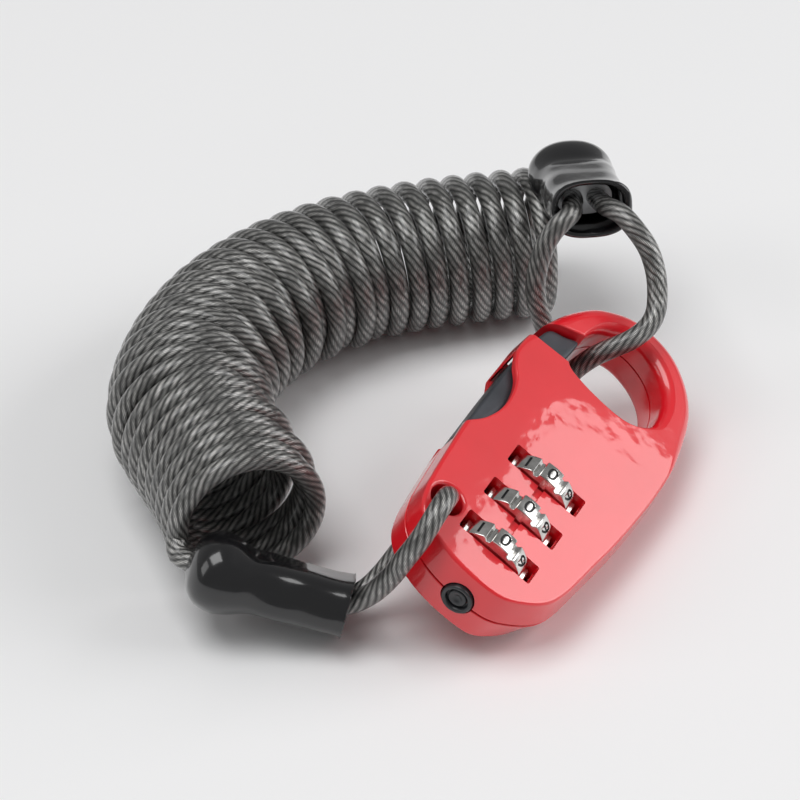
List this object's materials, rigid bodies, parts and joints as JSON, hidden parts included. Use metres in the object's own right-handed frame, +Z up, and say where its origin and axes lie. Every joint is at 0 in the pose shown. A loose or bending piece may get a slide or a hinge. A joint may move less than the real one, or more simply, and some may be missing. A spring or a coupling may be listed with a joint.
{
  "type": "combination cable luggage lock",
  "caption": "Carabiner-shaped combination luggage lock with a push-in gate, on a self-coiling wire cable with looped, crimped and capped ends.",
  "frame": {"origin": "on the ground under the middle of the lock's own box, measured without the cable", "axes": "+Z up; +Y along the dial spindle from the reset button towards the hook; +X towards the edge of the lock that touches the ground; the numbered face looks up and towards +X, 33 degrees off the vertical"},
  "size_m": [0.0866, 0.1119, 0.0343],
  "materials": {
    "red_paint": "high-gloss red lacquer over zinc casting",
    "dial_plate": "bright nickel plate with black recessed pads behind raised digits",
    "gate_coating": "satin graphite grey coating",
    "button_coating": "semi-gloss black",
    "steel": "bright drawn and spring steel",
    "brass": "turned brass",
    "ferrule": "crimped aluminium",
    "cable_sheath": "grey galvanised strands under a clear glossy sheath",
    "black_vinyl": "dipped glossy black vinyl with soft folds"
  },
  "bodies": {
    "case": {"top_shell": "red_paint", "bottom_shell": "red_paint", "case_pin_1": "steel", "case_pin_2": "steel", "case_pin_3": "steel", "gate_pivot_pin": "steel", "gate_spring": "steel", "detent_leaf": "steel", "coil": "cable_sheath", "near_lead": "cable_sheath", "far_lead": "cable_sheath", "near_loop": "cable_sheath", "far_loop": "cable_sheath", "near_cap": "black_vinyl", "far_cap": "black_vinyl", "near_ferrule": "ferrule", "far_ferrule": "ferrule"},
    "dial_1_body": {"dial_1": "dial_plate"},
    "dial_2_body": {"dial_2": "dial_plate"},
    "dial_3_body": {"dial_3": "dial_plate"},
    "reset_spindle": {"spindle": "steel", "reset_button": "button_coating", "spacer_1": "brass", "spacer_2": "brass", "spindle_spring": "steel"},
    "hub_1_body": {"hub_1": "brass"},
    "hub_2_body": {"hub_2": "brass"},
    "hub_3_body": {"hub_3": "brass"},
    "gate_body": {"gate": "gate_coating"},
    "comb_body": {"locking_comb": "steel"}
  },
  "joints": [
    {"name": "dial_1_turn", "type": "hinge", "parent": "case", "child": "dial_1_body", "pos_m": [0.0002, -0.00832, 0.01137], "axis": [0, 1, 0], "continuous": true},
    {"name": "dial_2_turn", "type": "hinge", "parent": "case", "child": "dial_2_body", "pos_m": [0.0002, -0.01682, 0.01137], "axis": [0, 1, 0], "continuous": true},
    {"name": "dial_3_turn", "type": "hinge", "parent": "case", "child": "dial_3_body", "pos_m": [0.0002, -0.02532, 0.01137], "axis": [0, 1, 0], "continuous": true},
    {"name": "reset_press", "type": "slide", "parent": "case", "child": "reset_spindle", "axis": [0, 1, 0], "range_m": [0, 0.0012], "stiffness_N_per_m": 600, "springref_m": -0.0005},
    {"name": "hub_1_turn", "type": "hinge", "parent": "reset_spindle", "child": "hub_1_body", "pos_m": [0.0002, -0.00832, 0.01137], "axis": [0, 1, 0], "continuous": true},
    {"name": "hub_2_turn", "type": "hinge", "parent": "reset_spindle", "child": "hub_2_body", "pos_m": [0.0002, -0.01682, 0.01137], "axis": [0, 1, 0], "continuous": true},
    {"name": "hub_3_turn", "type": "hinge", "parent": "reset_spindle", "child": "hub_3_body", "pos_m": [0.0002, -0.02532, 0.01137], "axis": [0, 1, 0], "continuous": true},
    {"name": "gate_swing", "type": "hinge", "parent": "case", "child": "gate_body", "pos_m": [-0.01079, -0.01122, 0.0185], "axis": [-0.5446, 0, -0.8387], "range_deg": [0, 14], "stiffness_Nm_per_rad": 0.03, "springref_deg": -17.19},
    {"name": "comb_shift", "type": "slide", "parent": "case", "child": "comb_body", "axis": [0.8387, 0, -0.5446], "range_m": [0, 0.001]}
  ],
  "couplings": [
    {"joint": "hub_1_turn", "follows": "dial_1_turn", "ratio": 1},
    {"joint": "hub_2_turn", "follows": "dial_2_turn", "ratio": 1},
    {"joint": "hub_3_turn", "follows": "dial_3_turn", "ratio": 1},
    {"joint": "comb_shift", "follows": "gate_swing", "m_per_rad": 0.00409}
  ]
}
